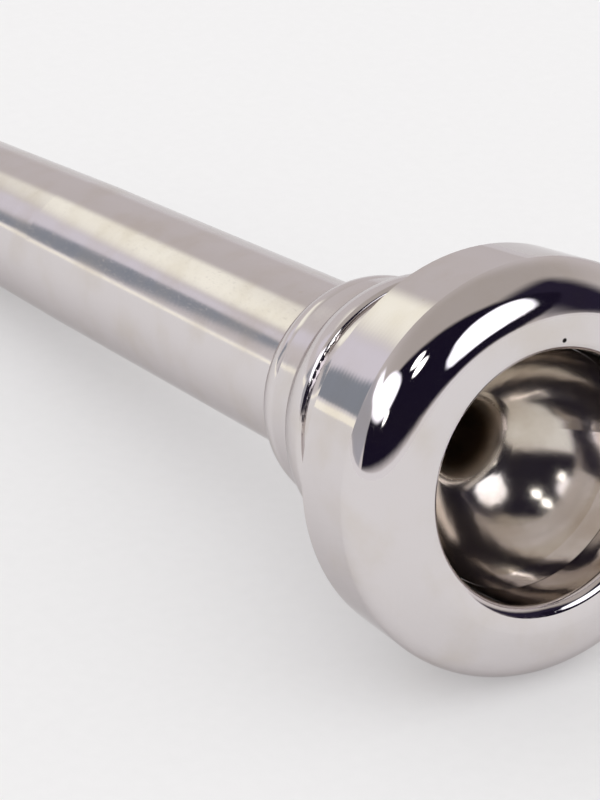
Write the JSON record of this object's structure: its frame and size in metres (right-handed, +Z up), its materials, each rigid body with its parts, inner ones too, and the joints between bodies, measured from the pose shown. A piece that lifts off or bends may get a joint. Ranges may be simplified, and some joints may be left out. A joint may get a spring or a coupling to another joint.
{
  "type": "trumpet mouthpiece",
  "caption": "Silver-plated cup mouthpiece for a trumpet: rounded rim, bowl cup and tapered shank that screw together, with a rubber seal at each joint.",
  "frame": {"origin": "on the floor under the middle of the mouthpiece's bounding box, as it lies on its side", "axes": "+X along the mouthpiece, towards the rim; +Z up; the turning axis rises 6 degrees towards the rim, because the rim is wider than the shank's end"},
  "size_m": [0.0886, 0.0272, 0.0272],
  "materials": {
    "silver_rim": "silver plated, mirror polished",
    "silver_cup": "silver plated, mirror polished",
    "silver_shank": "silver plated, polished",
    "seal_rubber": "matte"
  },
  "bodies": {
    "cup": {"cup": "silver_cup"},
    "rim_seal": {"rim_seal": "seal_rubber"},
    "rim": {"rim": "silver_rim"},
    "shank_seal": {"shank_seal": "seal_rubber"},
    "shank": {"shank": "silver_shank"}
  },
  "joints": [
    {"name": "rim_lift", "type": "slide", "parent": "cup", "child": "rim_seal", "axis": [0.9945, 0, 0.1048], "range_m": [0, 0.00206]},
    {"name": "rim_turn", "type": "hinge", "parent": "rim_seal", "child": "rim", "pos_m": [0.03925, 0, 0.01361], "axis": [0.9945, 0, 0.1048], "range_deg": [0, 990.5]},
    {"name": "shank_lift", "type": "slide", "parent": "cup", "child": "shank_seal", "axis": [-0.9945, 0, -0.1048], "range_m": [0, 0.00337]},
    {"name": "shank_turn", "type": "hinge", "parent": "shank_seal", "child": "shank", "pos_m": [0.02333, 0, 0.01193], "axis": [-0.9945, 0, -0.1048], "range_deg": [0, 1620.81]}
  ],
  "couplings": [
    {"joint": "rim_turn", "follows": "rim_lift", "rad_per_m": 8377.6},
    {"joint": "shank_turn", "follows": "shank_lift", "rad_per_m": 8377.6}
  ]
}
